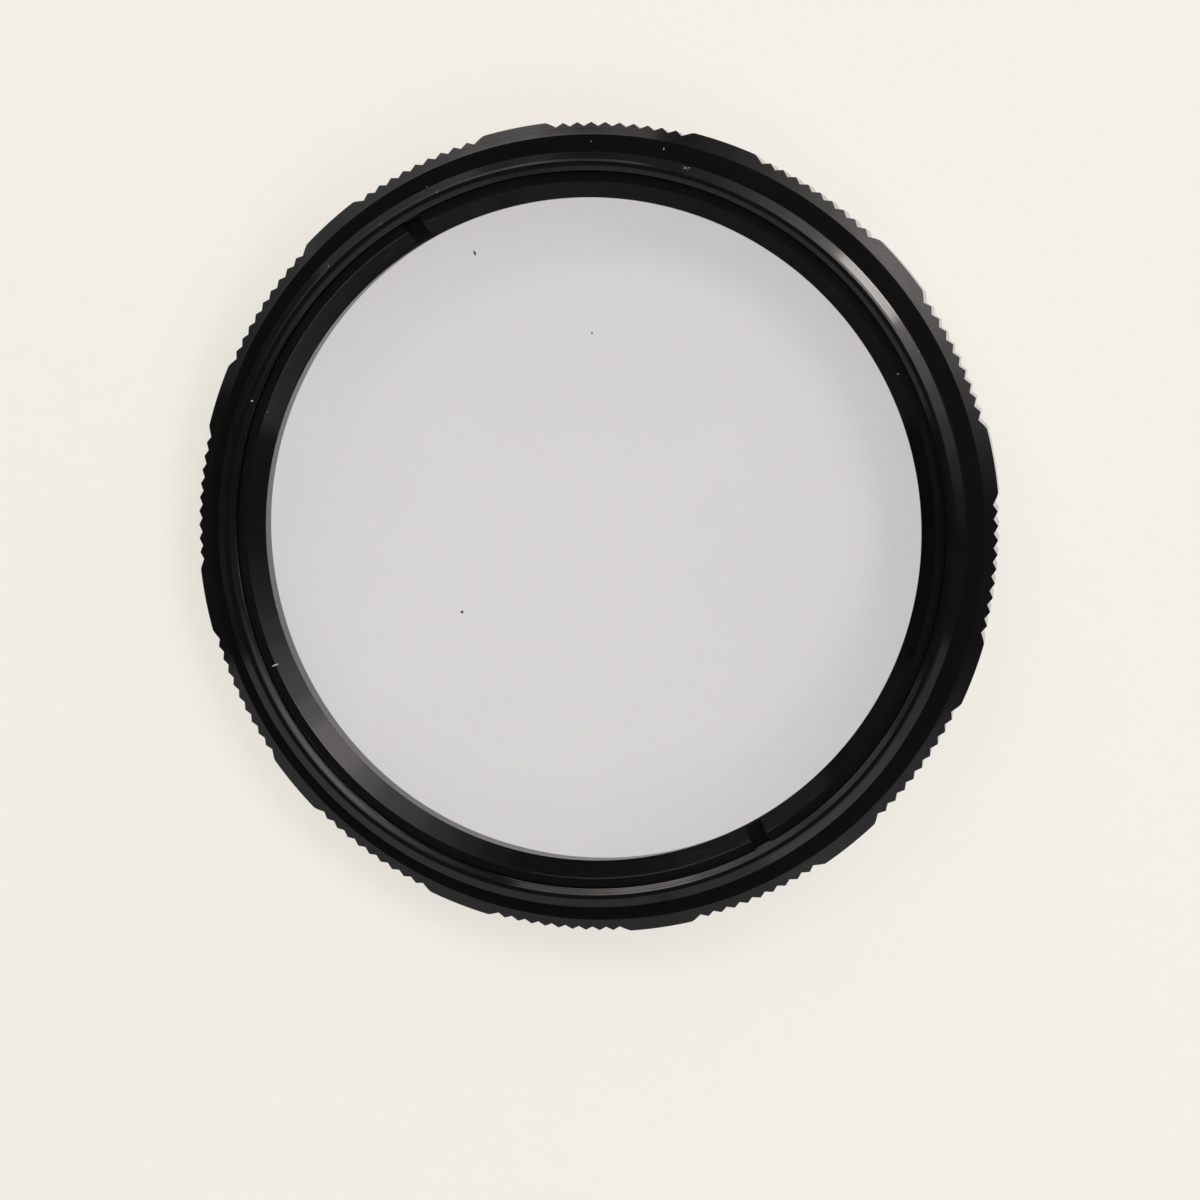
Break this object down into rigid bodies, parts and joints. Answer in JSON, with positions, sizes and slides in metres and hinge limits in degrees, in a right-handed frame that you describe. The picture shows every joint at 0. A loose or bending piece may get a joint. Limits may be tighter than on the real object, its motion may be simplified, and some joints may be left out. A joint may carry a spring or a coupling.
{
  "type": "close-up lens",
  "caption": "Screw-in close-up lens: plano-convex glass in a thin black metal ring with a knurled grip, a male filter thread at the rear and a female one in front.",
  "frame": {"origin": "on the lens axis, in the plane of the front rim that it lies on", "axes": "+Z along the lens axis, from the front rim towards the male thread; +X through the middle of one plain land of the grip"},
  "size_m": [0.053, 0.053, 0.0073],
  "materials": {
    "anodised_black": "turned and knurled, black anodised, satin",
    "coated_glass": "ground and polished, thin coating"
  },
  "bodies": {
    "root": {"mount_ring": "anodised_black", "retaining_ring": "anodised_black", "lens_element": "coated_glass"}
  },
  "joints": []
}
